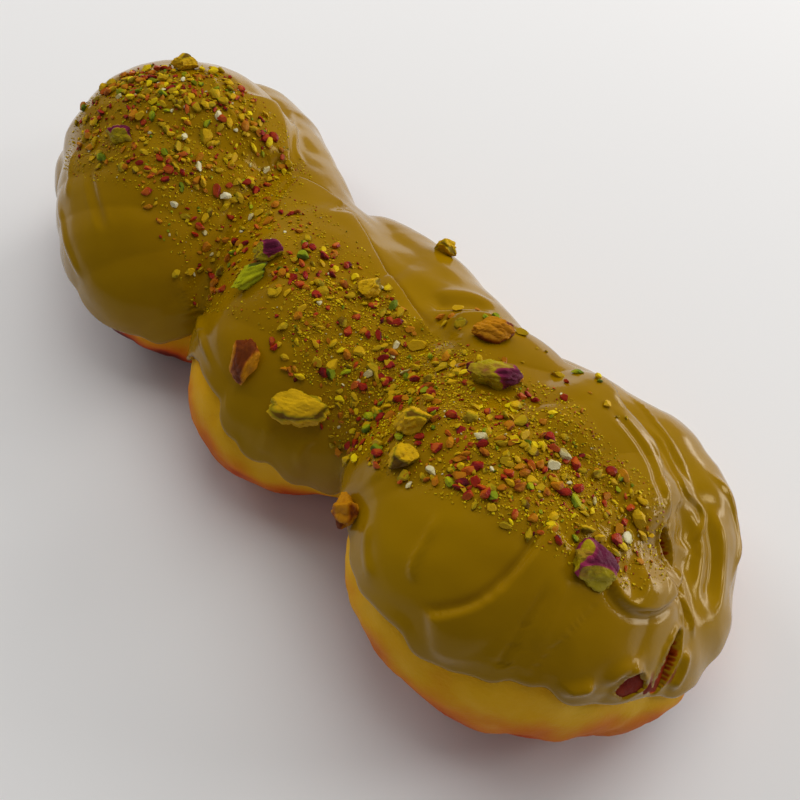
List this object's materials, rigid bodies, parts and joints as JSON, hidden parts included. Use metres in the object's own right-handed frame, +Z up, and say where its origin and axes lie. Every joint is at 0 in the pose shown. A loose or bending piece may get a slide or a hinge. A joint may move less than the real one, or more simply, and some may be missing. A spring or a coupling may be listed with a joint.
{
  "type": "pastry twist",
  "caption": "Fried twisted doughnut coated on top with pistachio cream and scattered with chopped pistachios.",
  "frame": {"origin": "centre of the footprint, on the plate that the twist lies on", "axes": "+X runs along the twist towards its torn end, +Y across it, +Z up away from the plate"},
  "size_m": [0.191, 0.0866, 0.0511],
  "materials": {
    "dough": "fried dough, dry and slightly uneven",
    "glaze": "soft satin cream",
    "nut_green": "chopped nut, matt",
    "nut_purple": "nut skin, matt",
    "nut_brown": "roasted nut, matt"
  },
  "bodies": {
    "root": {"dough_twist": "dough", "glaze_coat": "glaze", "pistachio_half_kernel": "nut_green", "pistachio_purple_skin": "nut_purple", "pistachio_tan_chunk": "nut_brown", "pistachio_purple_flake": "nut_purple", "pistachio_green_sliver": "nut_green", "pistachio_brown_chunk": "nut_brown", "pistachio_green_chunk": "nut_green", "pistachio_green_flake": "nut_green", "pistachio_near_chunk": "nut_purple", "pistachio_crease_chunk": "nut_green", "pistachio_middle_chunk": "nut_green", "pistachio_far_pale": "nut_green", "pistachio_far_dark": "nut_purple", "pistachio_right_chunk": "nut_green"}
  },
  "joints": []
}
